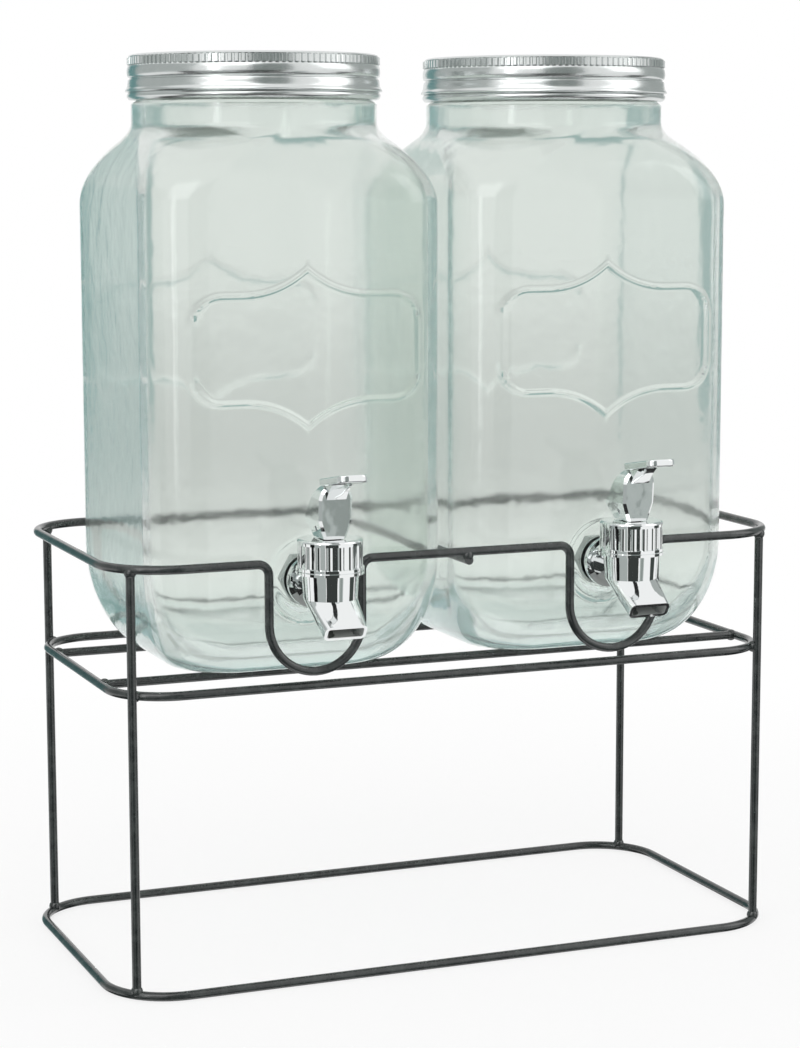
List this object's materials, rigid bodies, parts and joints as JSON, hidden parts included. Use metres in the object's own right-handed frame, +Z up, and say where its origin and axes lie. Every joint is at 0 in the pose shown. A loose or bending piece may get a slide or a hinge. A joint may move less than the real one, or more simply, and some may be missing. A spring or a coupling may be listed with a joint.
{
  "type": "double beverage dispenser",
  "caption": "Two square glass jars with screw lids and lever taps, side by side in a raised rack of bent round wire.",
  "frame": {"origin": "middle of the rack, on the surface that its bottom ring stands on", "axes": "+Z up, -Y towards the taps, +X to the right seen from the taps' side"},
  "size_m": [0.3276, 0.211, 0.4095],
  "materials": {
    "rack_wire": "satin",
    "glass": "clear pressed glass",
    "lid_metal": "satin",
    "liner": "matte",
    "chrome": "bright",
    "valve_plastic": "gloss",
    "seal_rubber": "matte",
    "washer_rubber": "matte",
    "nut_plastic": "gloss",
    "steel": "bright"
  },
  "bodies": {
    "rack": {"top_ring": "rack_wire", "bottom_ring": "rack_wire", "leg_front_left": "rack_wire", "leg_back_left": "rack_wire", "leg_front_right": "rack_wire", "leg_back_right": "rack_wire", "shelf_ring": "rack_wire", "rail_front": "rack_wire", "rail_back": "rack_wire", "divider": "rack_wire"},
    "left_jar": {"left_jar_heel": "glass", "left_jar_body": "glass", "left_jar_shoulder": "glass", "left_jar_neck": "glass", "left_tap_body": "chrome", "left_tap_bonnet": "chrome", "left_tap_outer_washer": "washer_rubber", "left_tap_inner_washer": "washer_rubber", "left_tap_nut": "nut_plastic", "left_tap_spring": "steel"},
    "left_lid": {"left_lid_shell": "lid_metal", "left_lid_liner": "liner"},
    "left_valve": {"left_tap_stem": "valve_plastic", "left_tap_seal": "seal_rubber", "left_tap_pin": "steel"},
    "left_lever": {"left_tap_lever": "chrome"},
    "right_jar": {"right_jar_heel": "glass", "right_jar_body": "glass", "right_jar_shoulder": "glass", "right_jar_neck": "glass", "right_tap_body": "chrome", "right_tap_bonnet": "chrome", "right_tap_outer_washer": "washer_rubber", "right_tap_inner_washer": "washer_rubber", "right_tap_nut": "nut_plastic", "right_tap_spring": "steel"},
    "right_lid": {"right_lid_shell": "lid_metal", "right_lid_liner": "liner"},
    "right_valve": {"right_tap_stem": "valve_plastic", "right_tap_seal": "seal_rubber", "right_tap_pin": "steel"},
    "right_lever": {"right_tap_lever": "chrome"}
  },
  "joints": [
    {"name": "left_jar_lift", "type": "slide", "parent": "rack", "child": "left_jar", "axis": [0, 0, 1], "range_m": [0, 0.1]},
    {"name": "left_lid_lift", "type": "slide", "parent": "left_jar", "child": "left_lid", "axis": [0, 0, 1], "range_m": [0, 0.06]},
    {"name": "left_valve_lift", "type": "slide", "parent": "left_jar", "child": "left_valve", "axis": [0, 0, 1], "range_m": [0, 0.0032], "deforming": ["left_tap_spring"]},
    {"name": "left_lever_tilt", "type": "hinge", "parent": "left_valve", "child": "left_lever", "pos_m": [-0.072, -0.098, 0.207], "axis": [1, 0, 0], "range_deg": [0, 30], "stiffness_Nm_per_rad": 0.0144, "springref_deg": -57.3},
    {"name": "right_jar_lift", "type": "slide", "parent": "rack", "child": "right_jar", "axis": [0, 0, 1], "range_m": [0, 0.1]},
    {"name": "right_lid_lift", "type": "slide", "parent": "right_jar", "child": "right_lid", "axis": [0, 0, 1], "range_m": [0, 0.06]},
    {"name": "right_valve_lift", "type": "slide", "parent": "right_jar", "child": "right_valve", "axis": [0, 0, 1], "range_m": [0, 0.0032], "deforming": ["right_tap_spring"]},
    {"name": "right_lever_tilt", "type": "hinge", "parent": "right_valve", "child": "right_lever", "pos_m": [0.072, -0.098, 0.207], "axis": [1, 0, 0], "range_deg": [0, 30], "stiffness_Nm_per_rad": 0.0144, "springref_deg": -57.3}
  ],
  "couplings": [
    {"joint": "left_valve_lift", "follows": "left_lever_tilt", "m_per_rad": 0.006},
    {"joint": "right_valve_lift", "follows": "right_lever_tilt", "m_per_rad": 0.006}
  ]
}
